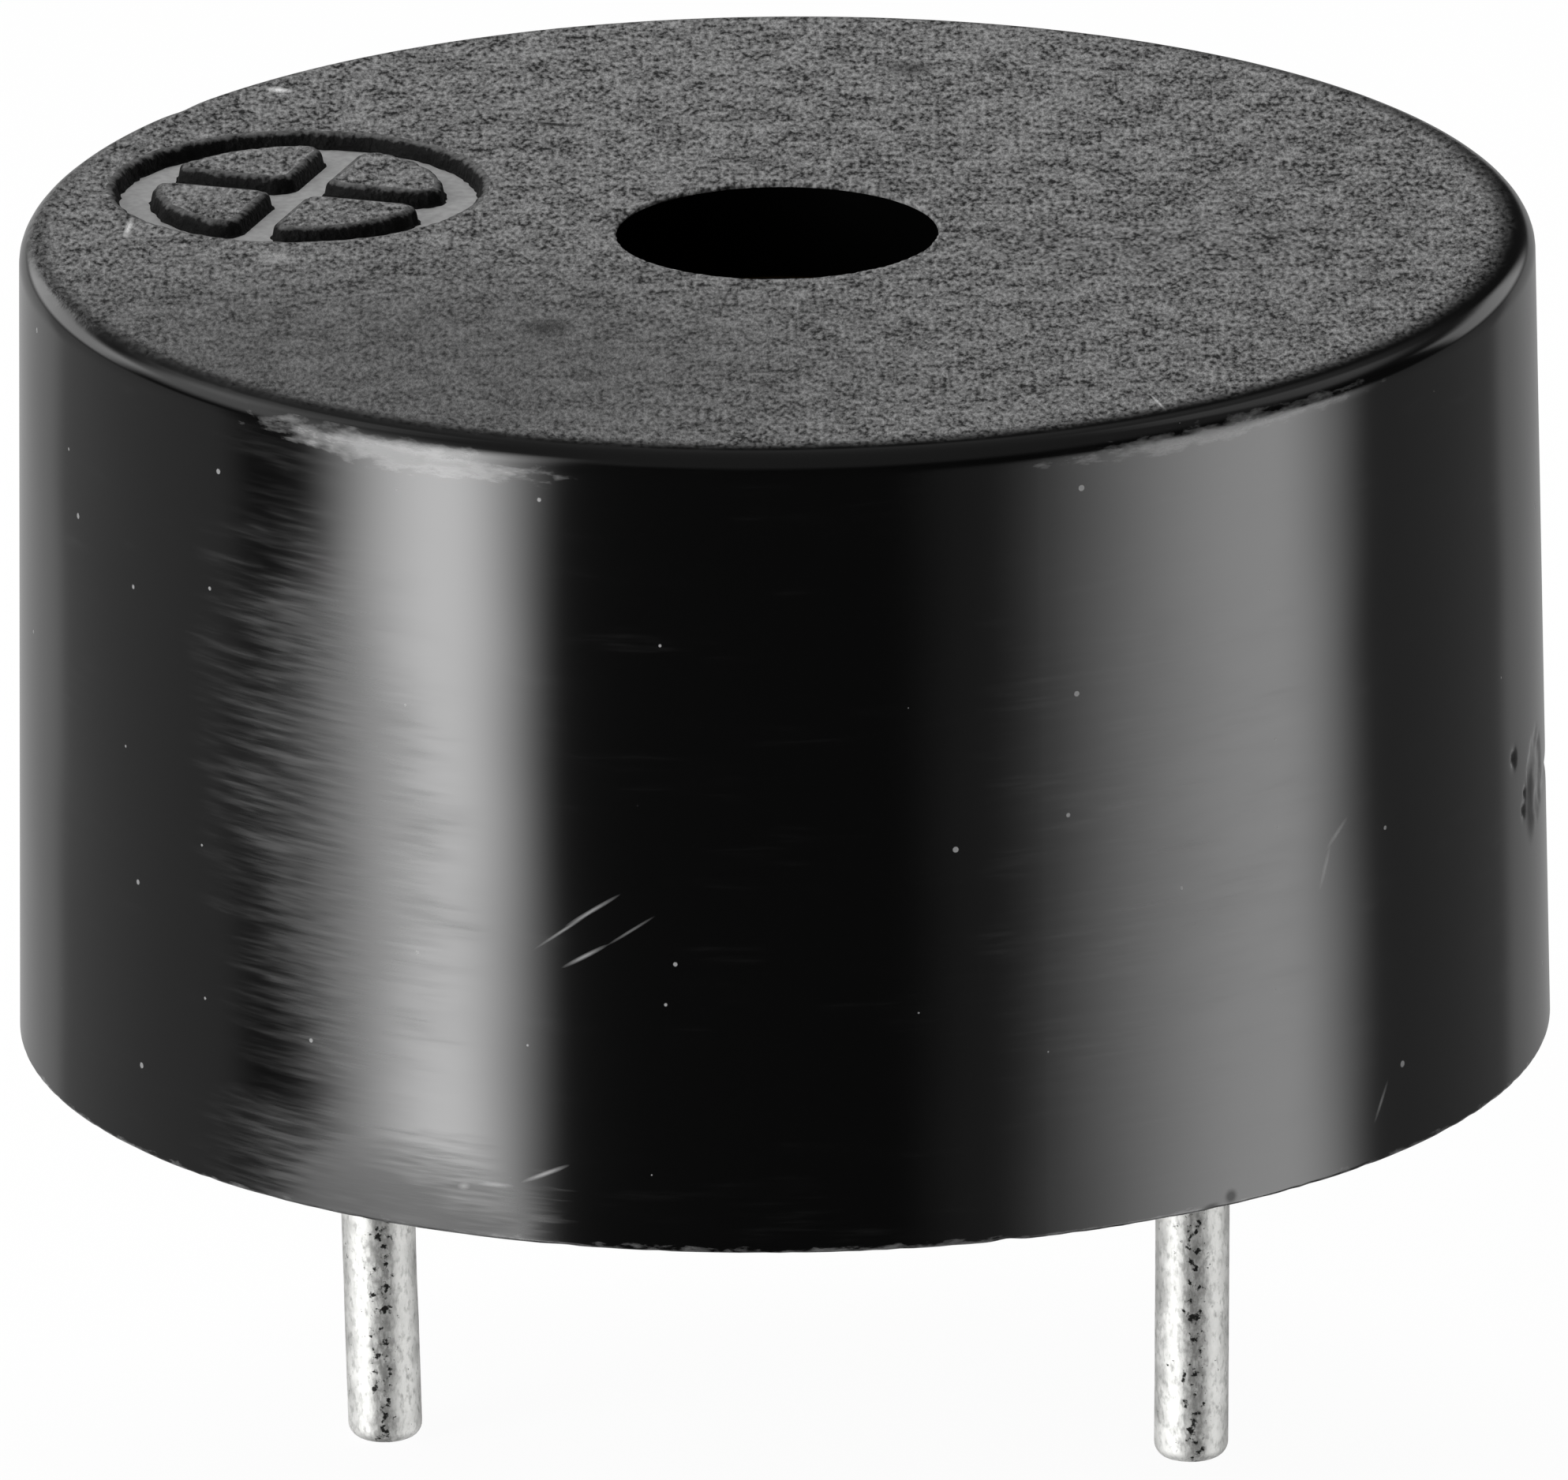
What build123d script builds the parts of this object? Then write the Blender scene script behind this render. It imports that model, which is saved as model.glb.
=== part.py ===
from build123d import *
import os
from math import cos, radians, sin, tan

# Self-driven piezo buzzer for a circuit board, in millimetres.
# The case is a moulded cup that stands on its open rim, at z = 0, with its axis on Z.
# The two pins stand on the X axis: positive at -X, negative at +X.

# Case
case_diameter = 13.8  # over the open rim
case_height = 7.42
side_draft = 0.7  # degrees, so that the case leaves its mould
side_wall = 0.55  # at the open rim
top_wall = 0.9
edge_radius = 0.22  # round the top face
sound_hole_diameter = 2.9
hole_edge_chamfer = 0.06
board_ledge_width = 0.25  # step that stops the circuit board
disc_ledge_width = 0.9  # step that carries the sounding disc
chamber_depth = 1.1  # from the disc's step to the top wall

# Polarity mark: a ring and a cross, engraved in the top face on the positive pin's side
mark_diameter = 3.32
mark_offset = 4.57  # from the case's axis
mark_skew = 2.8  # degrees that the case sits round from the line of the pins
mark_ring_width = 0.37
mark_bar_width = 0.34
mark_depth = 0.15

# Scar where the mould's gate broke off, low on the side
gate_bearing = 6.6  # degrees from +X
gate_height = 2.6
gate_diameter = 0.9
gate_stub_diameter = 0.4
gate_depth = 0.06
gate_stub_height = 0.04

# Sounding disc: silvered ceramic on brass, sealed to its step
disc_clearance = 0.1  # round the brass
seal_film = 0.1  # between brass and step
seal_lip_width = 0.5
seal_lip_depth = 0.3
brass_thickness = 0.1
bare_brass_width = 1.6  # from the ceramic's edge to the brass's edge
ceramic_thickness = 0.12
silver_thickness = 0.03
silver_margin = 0.25  # bare ceramic round the silver
tongue_length = 3.0  # feedback tongue, from the silver's edge
tongue_width = 1.5
tongue_gap = 0.25

# Circuit board and the resin that closes the case
resin_recess = 0.4  # from the rim to the resin
resin_depth = 0.9  # from the resin's face to the board
resin_creep = 0.2  # up the case's wall
board_thickness = 0.8
board_clearance = 0.1  # round the board
copper_thickness = 0.035
track_width = 0.4

# Pins: tinned wire, with a dipped coat on the free ends
pin_pitch = 7.6
pin_wire_diameter = 0.65
pin_coat = 0.01
pin_tip_chamfer = 0.12
positive_pin_length = 4.29  # below the rim
negative_pin_length = 3.84
pin_rise = 0.6  # above the copper
pin_barrel_gap = 0.175  # solder round the wire in the board
pin_pad_diameter = 1.7
pin_joint_diameter = 1.5
pin_joint_height = 0.45
pin_creep_width = 0.25  # resin drawn to each pin
pin_creep_height = 0.15

# Lead wires from the disc to the board
wire_diameter = 0.25  # over seven strands, which bunch into a six-sided bundle
wire_straight = 0.8  # straight at each end
wire_bend = 0.35
drive_dot = (1.8, 2.2)
drive_pad = (2.6, 2.6)
feedback_pad = (1.2, -3.6)
ground_dot_bearing = -35  # degrees from +X
ground_pad = (3.6, -2.4)
wire_dot_diameter = 0.8
wire_dot_height = 0.3
wire_dot_taper = 35  # degrees
wire_pad_diameter = 1.1

# Transistor, in its moulded body with three bent leads
transistor_at = (0.6, 0.6)
transistor_length = 2.9
transistor_width = 1.3
transistor_height = 0.9
transistor_lift = 0.1
transistor_taper = 7  # degrees
lead_spacing = 0.95  # from the lone lead to each of the pair
lead_reach = 0.55  # beyond the body
lead_foot = 0.3
lead_width = 0.4
lead_thickness = 0.12
lead_pad_width = 0.7
lead_pad_length = 0.8

# Chip resistors: place on the board, then degrees from +X
resistors = {
    "load_resistor": ((-1.6, 2.7), 0),
    "bias_resistor": ((-1.2, -1.7), 0),
    "feedback_resistor": ((-0.55, -3.4), 90),
}
chip_length = 1.6
chip_width = 0.8
chip_height = 0.45
chip_cap_length = 0.3
chip_cap_thickness = 0.04
chip_pad_margin = 0.12
solder_toe = 0.25  # wedge of solder beyond a cap or a lead
chip_solder_height = 0.3

# Radii of the steps, from the outside inwards
rim_radius = case_diameter / 2
top_radius = rim_radius - case_height * tan(radians(side_draft))
mouth_radius = rim_radius - side_wall
disc_bore_radius = mouth_radius - board_ledge_width
chamber_radius = disc_bore_radius - disc_ledge_width
hole_radius = sound_hole_diameter / 2
board_radius = mouth_radius - board_clearance
brass_radius = disc_bore_radius - disc_clearance
ceramic_radius = brass_radius - bare_brass_width
silver_radius = ceramic_radius - silver_margin

# Heights of the layers, from the rim upwards and from the top face downwards
board_bottom = resin_recess + resin_depth
board_top = board_bottom + board_thickness
copper_top = board_top + copper_thickness
chamber_top = case_height - top_wall
disc_ledge = chamber_top - chamber_depth
brass_top = disc_ledge - seal_film
brass_bottom = brass_top - brass_thickness
ceramic_bottom = brass_bottom - ceramic_thickness
silver_bottom = ceramic_bottom - silver_thickness

# Places that follow from those sizes
pin_wire_radius = pin_wire_diameter / 2
pin_coat_radius = pin_wire_radius + pin_coat
pin_barrel_radius = pin_wire_radius + pin_barrel_gap
wire_radius = wire_diameter / 2
pins = {
    "positive_pin": (-pin_pitch / 2, positive_pin_length),
    "negative_pin": (pin_pitch / 2, negative_pin_length),
}
pin_places = [(x, 0) for x, length in pins.values()]
feedback_dot = (0, tongue_length / 2 - silver_radius)
ground_dot_radius = (ceramic_radius + brass_radius - seal_lip_width) / 2
ground_dot = (
    ground_dot_radius * cos(radians(ground_dot_bearing)),
    ground_dot_radius * sin(radians(ground_dot_bearing)),
)
# each wire: place and height of its end on the disc, then its place on the board
wires = {
    "drive_wire": (drive_dot, silver_bottom, drive_pad),
    "feedback_wire": (feedback_dot, silver_bottom, feedback_pad),
    "ground_wire": (ground_dot, brass_bottom, ground_pad),
}
# leads: offset along the transistor, then the side of the body that each leaves
lead_places = {"collector": (0, 1), "base": (-lead_spacing, -1), "emitter": (lead_spacing, -1)}
lead_foot_offset = transistor_width / 2 + lead_reach - lead_foot / 2


def lead_foot_at(lead):
    """Centre of a transistor lead's foot on the board."""
    along, side = lead_places[lead]
    return transistor_at[0] + along, transistor_at[1] + side * lead_foot_offset


def cap_at(name, end):
    """Centre of a chip resistor's end cap, at its low (-1) or high (+1) end."""
    (x, y), bearing = resistors[name]
    reach = end * (chip_length - chip_cap_length) / 2
    return x + reach * cos(radians(bearing)), y + reach * sin(radians(bearing))


def upright(x):
    """Plane through (x, 0) on which a turned piece's section is drawn, with its Y axis up."""
    return Plane((x, 0, 0), x_dir=(1, 0, 0), z_dir=(0, -1, 0))


def turning_axis(x):
    """Vertical axis through (x, 0)."""
    return Axis((x, 0, 0), (0, 0, 1))


def wire_lean(dot, pad):
    """Level direction in which a lead wire leans, from the disc to the board."""
    return Vector(*pad) - Vector(*dot)


def finish(piece, name):
    """Label a finished piece and write it out."""
    piece.part.label = name
    export_step(piece.part, f"parts/{name}.step")


os.makedirs("parts", exist_ok=True)

# Case: a moulded cup with two steps inside and one hole for the sound
with BuildPart() as case:
    with BuildSketch(Plane.XZ) as case_section:
        with BuildLine():
            Polyline(
                (mouth_radius, 0),
                (rim_radius, 0),
                (top_radius, case_height),
                (hole_radius, case_height),
                (hole_radius, chamber_top),
                (chamber_radius, chamber_top),
                (chamber_radius, disc_ledge),
                (disc_bore_radius, disc_ledge),
                (disc_bore_radius, board_top),
                (mouth_radius, board_top),
                close=True,
            )
        make_face()
        fillet(case_section.vertices().group_by(Axis.Y)[-1].sort_by(Axis.X)[-1], edge_radius)
        chamfer(case_section.vertices().group_by(Axis.Y)[-1].sort_by(Axis.X)[0], hole_edge_chamfer)
    revolve(axis=Axis.Z)

    # The mark's ring and cross are cut together, which leaves four islands level with the top
    with BuildSketch(Plane.XY.offset(case_height)):
        with PolarLocations(mark_offset, 1, start_angle=180 - mark_skew):
            Circle(mark_diameter / 2)
            Circle(mark_diameter / 2 - mark_ring_width, mode=Mode.SUBTRACT)
            Rectangle(mark_diameter - mark_ring_width, mark_bar_width)
            Rectangle(mark_bar_width, mark_diameter - mark_ring_width)
    extrude(amount=-mark_depth, mode=Mode.SUBTRACT)

    # The gate's scar is a dimple with the broken stub left in it
    gate_out = Vector(cos(radians(gate_bearing)), sin(radians(gate_bearing)), 0)
    gate_radius = rim_radius - gate_height * tan(radians(side_draft))
    gate_floor = gate_out * (gate_radius - gate_depth) + Vector(0, 0, gate_height)
    with BuildSketch(Plane(gate_floor, z_dir=gate_out)):
        Circle(gate_diameter / 2)
        Circle(gate_stub_diameter / 2, mode=Mode.SUBTRACT)
    extrude(amount=gate_depth * 2, mode=Mode.SUBTRACT)
    with BuildSketch(Plane(gate_floor + gate_out * gate_stub_height, z_dir=gate_out)):
        Circle(gate_stub_diameter / 2)
    extrude(amount=gate_depth * 2, mode=Mode.SUBTRACT)
finish(case, "case")

# Brass disc of the sounder, a little smaller than its bore
with BuildPart() as brass_disc:
    with BuildSketch(Plane.XY.offset(brass_bottom)):
        Circle(brass_radius)
    extrude(amount=brass_thickness)
finish(brass_disc, "brass_disc")

# Bead of silicone rubber that holds the brass to its step and closes the gap round it
with BuildPart() as disc_seal:
    with BuildSketch(Plane.XZ):
        with BuildLine():
            Polyline(
                (brass_radius - seal_lip_width, brass_bottom),
                (brass_radius, brass_bottom),
                (brass_radius, brass_top),
                (chamber_radius, brass_top),
                (chamber_radius, disc_ledge),
                (disc_bore_radius, disc_ledge),
                (disc_bore_radius, brass_bottom - seal_lip_depth),
            )
            Line(
                (disc_bore_radius, brass_bottom - seal_lip_depth),
                (brass_radius - seal_lip_width, brass_bottom),
            )
        make_face()
    revolve(axis=Axis.Z)
finish(disc_seal, "disc_seal")

# Piezo ceramic, bonded under the brass
with BuildPart() as ceramic_disc:
    with BuildSketch(Plane.XY.offset(ceramic_bottom)):
        Circle(ceramic_radius)
    extrude(amount=ceramic_thickness)
finish(ceramic_disc, "ceramic_disc")

# Silver fired on the ceramic, parted into a drive field and a feedback tongue
tongue_end = tongue_width / 2 - silver_radius + tongue_length - tongue_width
with BuildPart() as feedback_electrode:
    with BuildSketch(Plane.XY.offset(silver_bottom)):
        with Locations((0, tongue_end)):
            Circle(tongue_width / 2)
        with Locations((0, tongue_end - tongue_length / 2)):
            Rectangle(tongue_width, tongue_length)
        Circle(silver_radius, mode=Mode.INTERSECT)
    extrude(amount=silver_thickness)
finish(feedback_electrode, "feedback_electrode")

with BuildPart() as drive_electrode:
    with BuildSketch(Plane.XY.offset(silver_bottom)):
        Circle(silver_radius)
        with Locations((0, tongue_end)):
            Circle(tongue_width / 2 + tongue_gap, mode=Mode.SUBTRACT)
        with Locations((0, tongue_end - tongue_length / 2)):
            Rectangle(tongue_width + 2 * tongue_gap, tongue_length, mode=Mode.SUBTRACT)
    extrude(amount=silver_thickness)
finish(drive_electrode, "drive_electrode")

# Circuit board, stopped by the case's lower step, with a hole for each pin
with BuildPart() as circuit_board:
    with BuildSketch(Plane.XY.offset(board_bottom)):
        Circle(board_radius)
        with Locations(*pin_places):
            Circle(pin_barrel_radius, mode=Mode.SUBTRACT)
    extrude(amount=board_thickness)
finish(circuit_board, "circuit_board")

# Copper on the board's upper face: supply, collector, base, feedback and ground
supply_pin, ground_pin = pin_places
track_routes = [
    [cap_at("load_resistor", -1), supply_pin, cap_at("bias_resistor", -1)],
    [cap_at("load_resistor", 1), lead_foot_at("collector"), drive_pad],
    [lead_foot_at("base"), cap_at("bias_resistor", 1), cap_at("feedback_resistor", 1)],
    [cap_at("feedback_resistor", -1), feedback_pad],
    [lead_foot_at("emitter"), ground_pin, ground_pad],
]
with BuildPart() as copper_tracks:
    with BuildSketch(Plane.XY.offset(board_top)):
        for route in track_routes:
            with BuildLine():
                Polyline(*route)
            trace(line_width=track_width)
        with Locations(*pin_places):
            Circle(pin_pad_diameter / 2)
        with Locations(drive_pad, feedback_pad, ground_pad):
            Circle(wire_pad_diameter / 2)
        for lead in lead_places:
            with Locations(lead_foot_at(lead)):
                Rectangle(lead_pad_width, lead_pad_length)
        for name, (place, bearing) in resistors.items():
            for end in (-1, 1):
                with Locations(Location((*cap_at(name, end), 0), (0, 0, bearing))):
                    Rectangle(
                        chip_cap_length + 2 * solder_toe,
                        chip_width + 2 * chip_pad_margin,
                    )
        with Locations(*pin_places):
            Circle(pin_barrel_radius, mode=Mode.SUBTRACT)
    extrude(amount=copper_thickness)
finish(copper_tracks, "copper_tracks")

# Pins: a round wire through resin and board, with the dip's coat below the resin's face
for name, (x, length) in pins.items():
    with BuildPart() as pin:
        with BuildSketch(upright(x)) as pin_section:
            with BuildLine():
                Polyline(
                    (0, -length),
                    (pin_coat_radius, -length),
                    (pin_coat_radius, resin_recess),
                    (pin_wire_radius, resin_recess),
                    (pin_wire_radius, copper_top + pin_rise),
                    (0, copper_top + pin_rise),
                    close=True,
                )
            make_face()
            tip_corner = pin_section.vertices().group_by(Axis.Y)[0].sort_by(Axis.X)[-1]
            chamfer(tip_corner, pin_tip_chamfer)
        revolve(axis=turning_axis(x))
    finish(pin, name)

# Solder that fills the board's holes and rises round each pin
with BuildPart() as pin_solder:
    for x, y in pin_places:
        with BuildSketch(upright(x)):
            with BuildLine():
                Polyline(
                    (pin_wire_radius, copper_top + pin_joint_height),
                    (pin_wire_radius, board_bottom),
                    (pin_barrel_radius, board_bottom),
                    (pin_barrel_radius, copper_top),
                    (pin_joint_diameter / 2, copper_top),
                    close=True,
                )
            make_face()
        revolve(axis=turning_axis(x))
finish(pin_solder, "pin_solder")

# Epoxy resin, poured over the board's underside, up round its edge and drawn to wall and pins
with BuildPart() as resin_potting:
    with BuildSketch(Plane.XZ):
        with BuildLine():
            Polyline(
                (mouth_radius, resin_recess - resin_creep),
                (mouth_radius, board_top),
                (board_radius, board_top),
                (board_radius, board_bottom),
                (0, board_bottom),
                (0, resin_recess),
                (mouth_radius - resin_creep, resin_recess),
                close=True,
            )
        make_face()
    revolve(axis=Axis.Z)
    with BuildSketch(Plane.XY.offset(resin_recess)):
        with Locations(*pin_places):
            Circle(pin_wire_radius)
    extrude(amount=resin_depth, mode=Mode.SUBTRACT)
    for x, y in pin_places:
        with BuildSketch(upright(x)):
            with BuildLine():
                Polyline(
                    (pin_coat_radius, resin_recess - pin_creep_height),
                    (pin_coat_radius, resin_recess),
                    (pin_coat_radius + pin_creep_width, resin_recess),
                    close=True,
                )
            make_face()
        revolve(axis=turning_axis(x))
finish(resin_potting, "resin_potting")

# Lead wires, each soldered upright at both ends with a slack slope between
for name, (dot, dot_z, pad) in wires.items():
    with BuildPart() as wire:
        with BuildLine():
            FilletPolyline(
                (*dot, dot_z),
                (*dot, dot_z - wire_straight),
                (*pad, copper_top + wire_straight),
                (*pad, copper_top),
                radius=wire_bend,
            )
        with BuildSketch(Plane((*dot, dot_z), x_dir=wire_lean(dot, pad), z_dir=(0, 0, -1))):
            RegularPolygon(wire_radius, 6)
        sweep()
    finish(wire, name)

# Solder at both ends of the wires: it hangs (-1) on the disc and rises (+1) on the board
wire_solder = {
    "disc_solder": [(dot, dot_z, -1, wire_lean(dot, pad)) for dot, dot_z, pad in wires.values()],
    "board_solder": [(pad, copper_top, 1, wire_lean(dot, pad)) for dot, dot_z, pad in wires.values()],
}
for name, dots in wire_solder.items():
    with BuildPart() as solder:
        for place, z, way, lean in dots:
            with BuildSketch(Plane((*place, z), x_dir=lean, z_dir=(0, 0, way))):
                Circle(wire_dot_diameter / 2)
            extrude(amount=wire_dot_height, taper=wire_dot_taper)
            with BuildSketch(Plane((*place, z), x_dir=lean, z_dir=(0, 0, way))):
                RegularPolygon(wire_radius, 6)
            extrude(amount=wire_dot_height, mode=Mode.SUBTRACT)
    finish(solder, name)

# Transistor body, parted at mid height where its leads leave it
body_middle = copper_top + transistor_lift + transistor_height / 2
with BuildPart() as transistor_body:
    for way in (1, -1):
        with BuildSketch(Plane((*transistor_at, body_middle), z_dir=(0, 0, way))):
            Rectangle(transistor_length, transistor_width)
        extrude(amount=transistor_height / 2, taper=transistor_taper)
finish(transistor_body, "transistor_body")

# Leads: stamped strip, out of the body, down and flat on the copper
with BuildPart() as transistor_leads:
    for along, side in lead_places.values():
        lead_plane = Plane(
            (transistor_at[0] + along, transistor_at[1] + side * transistor_width / 2, 0),
            x_dir=(0, side, 0),
            z_dir=(side, 0, 0),
        )
        bend = (lead_reach - lead_foot) / 2
        foot_middle = copper_top + lead_thickness / 2
        with BuildSketch(lead_plane):
            with BuildLine():
                Polyline(
                    (0, body_middle),
                    (bend, body_middle),
                    (lead_reach - lead_foot, foot_middle),
                    (lead_reach, foot_middle),
                )
            trace(line_width=lead_thickness)
        extrude(amount=lead_width / 2, both=True)
finish(transistor_leads, "transistor_leads")

# Chip resistors: a ceramic core, and a plated cap wrapped over each end
chip_middle = copper_top + chip_height / 2
for name, (place, bearing) in resistors.items():
    chip_plane = Plane((*place, chip_middle)).rotated((0, 0, bearing))
    core_size = (
        chip_length - 2 * chip_cap_thickness,
        chip_width,
        chip_height - 2 * chip_cap_thickness,
    )
    with BuildPart(chip_plane) as chip_core:
        Box(*core_size)
    finish(chip_core, name)
    with BuildPart(chip_plane) as chip_caps:
        with Locations(((chip_cap_length - chip_length) / 2, 0), ((chip_length - chip_cap_length) / 2, 0)):
            Box(chip_cap_length, chip_width, chip_height)
        Box(*core_size, mode=Mode.SUBTRACT)
    finish(chip_caps, f"{name}_caps")


# Wedges of solder: where each starts, the way it falls away, its height and its width
wedges = []
for name, (place, bearing) in resistors.items():
    for end, way in ((-1, bearing + 180), (1, bearing)):
        x, y = cap_at(name, end)
        out = Vector(cos(radians(way)), sin(radians(way)), 0)
        face = Vector(x, y, copper_top) + out * (chip_cap_length / 2)
        wedges.append((face, out, chip_solder_height, chip_width))
for lead, (along, side) in lead_places.items():
    out = Vector(0, side, 0)
    face = Vector(*lead_foot_at(lead), copper_top) + out * (lead_foot / 2)
    wedges.append((face, out, lead_thickness, lead_width))

with BuildPart() as component_solder:
    for face, out, height, width in wedges:
        with BuildSketch(Plane(face, x_dir=out, z_dir=out.cross(Vector(0, 0, 1)))):
            with BuildLine():
                Polyline((0, 0), (solder_toe, 0), (0, height), close=True)
            make_face()
        extrude(amount=width / 2, both=True)
finish(component_solder, "component_solder")
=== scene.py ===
import math

import bmesh
import bpy
from mathutils import Matrix, Vector, noise


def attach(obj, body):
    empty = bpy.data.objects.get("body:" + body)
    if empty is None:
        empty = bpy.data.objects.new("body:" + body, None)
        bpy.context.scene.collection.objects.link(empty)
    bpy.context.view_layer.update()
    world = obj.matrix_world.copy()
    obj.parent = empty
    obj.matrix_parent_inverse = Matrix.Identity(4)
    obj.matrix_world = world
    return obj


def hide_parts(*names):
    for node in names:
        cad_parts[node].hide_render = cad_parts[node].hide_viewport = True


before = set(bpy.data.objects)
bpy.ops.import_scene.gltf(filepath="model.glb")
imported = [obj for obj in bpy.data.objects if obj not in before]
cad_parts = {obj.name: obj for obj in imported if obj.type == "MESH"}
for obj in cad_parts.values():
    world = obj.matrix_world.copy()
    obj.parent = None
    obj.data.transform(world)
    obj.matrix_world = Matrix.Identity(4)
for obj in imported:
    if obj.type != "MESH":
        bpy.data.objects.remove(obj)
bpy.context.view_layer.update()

# Case
# A black ABS cup, injection moulded in one shot: spark-eroded texture on its top, a polished wall
# with draft, steps inside for the disc and the board, an engraved mark and the scar of its gate.
mm = 0.001
case_height = 7.42
rim_radius = 6.9
draft = math.radians(0.7)
edge_radius = 0.22
mouth_radius, board_bore, chamber_radius, hole_radius = 6.35, 6.1, 5.2, 1.45
board_top, disc_ledge, chamber_top = 2.1, 5.42, 6.52
top_radius = rim_radius - case_height * math.tan(draft)
mark_place, mark_turn = 4.57, math.radians(177.2)
mark_radius, mark_ring, mark_bar, mark_depth = 1.66, 0.37, 0.34, 0.15
gate_bearing, gate_height, gate_radius, gate_stub = 6.6, 2.6, 0.45, 0.2
nick_bearing, flat_bearing = -56.8, 160.2
arc_steps, edge_hold = 8, 0.15


def rounded(corners):
    """Section line of (r, z) through corners of (r, z, rounding), held tight beside each arc."""
    line = []
    for i, (r, z, rounding) in enumerate(corners):
        here = Vector((r, z))
        if not rounding:
            line.append(here)
            continue
        before = (here - Vector(corners[i - 1][:2])).normalized()
        after = (Vector(corners[i + 1][:2]) - here).normalized()
        turn = before.angle_signed(after)
        reach = rounding * abs(math.tan(turn / 2))
        start = here - before * reach
        side = Vector((before.y, -before.x)) * (1 if turn > 0 else -1)
        middle = start + side * rounding
        line.append(start - before * rounding * edge_hold)
        for k in range(arc_steps + 1):
            line.append(middle + Matrix.Rotation(-turn * k / arc_steps, 2) @ (start - middle))
        line.append(here + after * (reach + rounding * edge_hold))
    return line


def ring(mesh, points):
    """Closed ring of vertices, given in millimetres."""
    return [mesh.verts.new(Vector(p) * mm) for p in points]


def skin(mesh, rings, finish):
    """Quads between neighbouring rings of equal length."""
    for low, high in zip(rings, rings[1:]):
        for k in range(len(low)):
            face = mesh.faces.new((low[k - 1], low[k], high[k], high[k - 1]))
            face.material_index = finish
            face.smooth = True


def cap(mesh, rings, finish):
    """Flat face inside the first ring and round the others."""
    edges = [mesh.edges.get((r[k - 1], r[k])) for r in rings for k in range(len(r))]
    made = bmesh.ops.triangle_fill(mesh, use_beauty=True, edges=edges, normal=(0, 0, 1))
    for face in made["geom"]:
        if isinstance(face, bmesh.types.BMFace):
            face.material_index = finish
            face.smooth = True


def piece(name, mesh, finishes):
    """Object from a finished mesh, in the CAD's own frame."""
    bmesh.ops.recalc_face_normals(mesh, faces=mesh.faces)
    data = bpy.data.meshes.new(name)
    mesh.to_mesh(data)
    mesh.free()
    for finish in finishes:
        data.materials.append(finish)
    made = bpy.data.objects.new(name, data)
    bpy.context.scene.collection.objects.link(made)
    return made


def linear(code):
    """Linear colour from an sRGB hex value."""
    parts = [int(code[k : k + 2], 16) / 255 for k in (1, 3, 5)]
    return (*(c / 12.92 if c <= 0.04045 else ((c + 0.055) / 1.055) ** 2.4 for c in parts), 1)


def put(tree, kind, sockets=None, **settings):
    """Add a node. Its sockets take values, sRGB hex colours, nodes or outputs of nodes."""
    node = tree.nodes.new("ShaderNode" + kind)
    for name, value in settings.items():
        setattr(node, name, value)
    for name, value in (sockets or {}).items():
        if isinstance(value, bpy.types.Node):
            value = next(o for o in value.outputs if o.enabled)
        if isinstance(value, bpy.types.NodeSocket):
            tree.links.new(value, node.inputs[name])
        else:
            node.inputs[name].default_value = linear(value) if isinstance(value, str) else value
    return node


def surface(name):
    """Start a material: the material, its tree, and the place on the part in millimetres."""
    made = bpy.data.materials.new(name)
    made.use_nodes = True
    tree = made.node_tree
    tree.nodes.clear()
    place = put(tree, "TexCoord").outputs["Object"]
    place = put(tree, "VectorMath", {0: place, 1: (1000, 1000, 1000)}, operation="MULTIPLY")
    return made, tree, place


def blot(tree, place, x, y, turn, length, width):
    """Mask of one soft oval spot or scratch, 1 at its middle: place, degrees, half sizes in mm."""
    sockets = {0: place, 1: (x, y, 0), 2: (0, 0, math.radians(turn)), 3: (length, width, 99)}
    oval = put(tree, "Mapping", sockets, vector_type="TEXTURE")
    return put(tree, "TexGradient", {0: oval}, gradient_type="SPHERICAL").outputs[1]


def shade(tree, sockets, relief, depth):
    """Close a material with its shader, and with a relief of the given depth in mm."""
    bump = {"Height": relief, "Strength": 1.0, "Distance": depth * mm}
    sockets["Normal"] = put(tree, "Bump", bump)
    put(tree, "OutputMaterial", {0: put(tree, "BsdfPrincipled", sockets)})


def bell(away):
    """Smooth hump: 1 at its middle, and almost nothing at two half widths away."""
    return math.exp(-(away**2))


scar_slope, scar_depth, stub_slope, stub_rise = 0.18, 0.016, 0.08, 0.01
torn_scale, torn_edge, torn_depth = 6, 0.05, 0.003
notch_bearing, notch_half_turn = 17, 5
notch_height, notch_half_height, notch_depth = 2.36, 0.07, 0.05
# old knocks: bearing in degrees, then height, half width and depth in millimetres
knocks = (
    (-0.4, 3.01, 0.06, 0.035),
    (2.7, 2.57, 0.045, 0.03),
    (2.1, 2.43, 0.05, 0.03),
    (-102.7, 5.24, 0.05, 0.006),
    (-110.1, 4.91, 0.04, 0.005),
    (-45.0, 5.35, 0.05, 0.006),
)


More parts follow.
